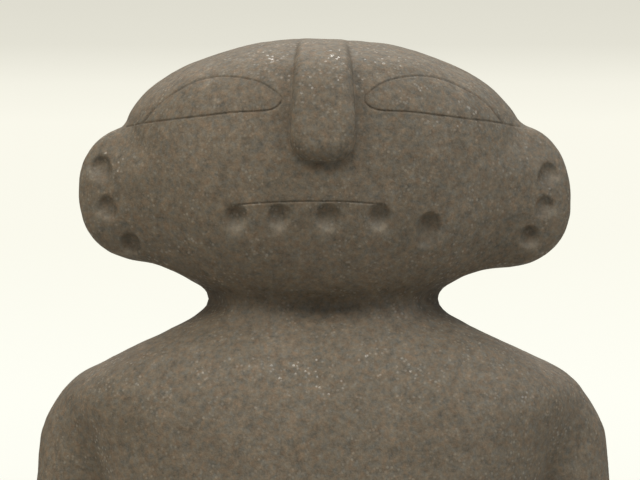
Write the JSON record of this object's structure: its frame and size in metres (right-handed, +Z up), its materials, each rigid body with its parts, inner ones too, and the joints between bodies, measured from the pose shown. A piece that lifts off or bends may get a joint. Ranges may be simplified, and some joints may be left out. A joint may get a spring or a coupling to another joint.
{
  "type": "tiki figure",
  "caption": "Squat carved stone figure with a broad head, bar nose, pitted ears and mouth, hands on the belly and bent legs, standing on a base slab.",
  "frame": {"origin": "on the floor under the middle of the base slab, at the underside of the pads", "axes": "+Z up, the face looks along -Y, +X is the viewer's right when looking at the face"},
  "size_m": [0.2948, 0.19, 0.4801],
  "materials": {
    "stone": "pecked and worn smooth, fine warm brown and grey speckle with pale flecks",
    "resin": "resin filled with stone dust, flush with the carving",
    "dowel_steel": "ribbed stainless bar",
    "pad_rubber": "matt black disc"
  },
  "bodies": {
    "root": {"head_block": "stone", "torso_block": "stone", "legs_block": "stone", "base_slab": "stone", "neck_joint_resin": "resin", "waist_joint_resin": "resin", "left_sole_resin": "resin", "right_sole_resin": "resin", "left_neck_dowel": "dowel_steel", "right_neck_dowel": "dowel_steel", "left_waist_dowel": "dowel_steel", "right_waist_dowel": "dowel_steel", "left_ankle_dowel": "dowel_steel", "right_ankle_dowel": "dowel_steel", "front_left_pad": "pad_rubber", "front_right_pad": "pad_rubber", "back_left_pad": "pad_rubber", "back_right_pad": "pad_rubber"}
  },
  "joints": []
}
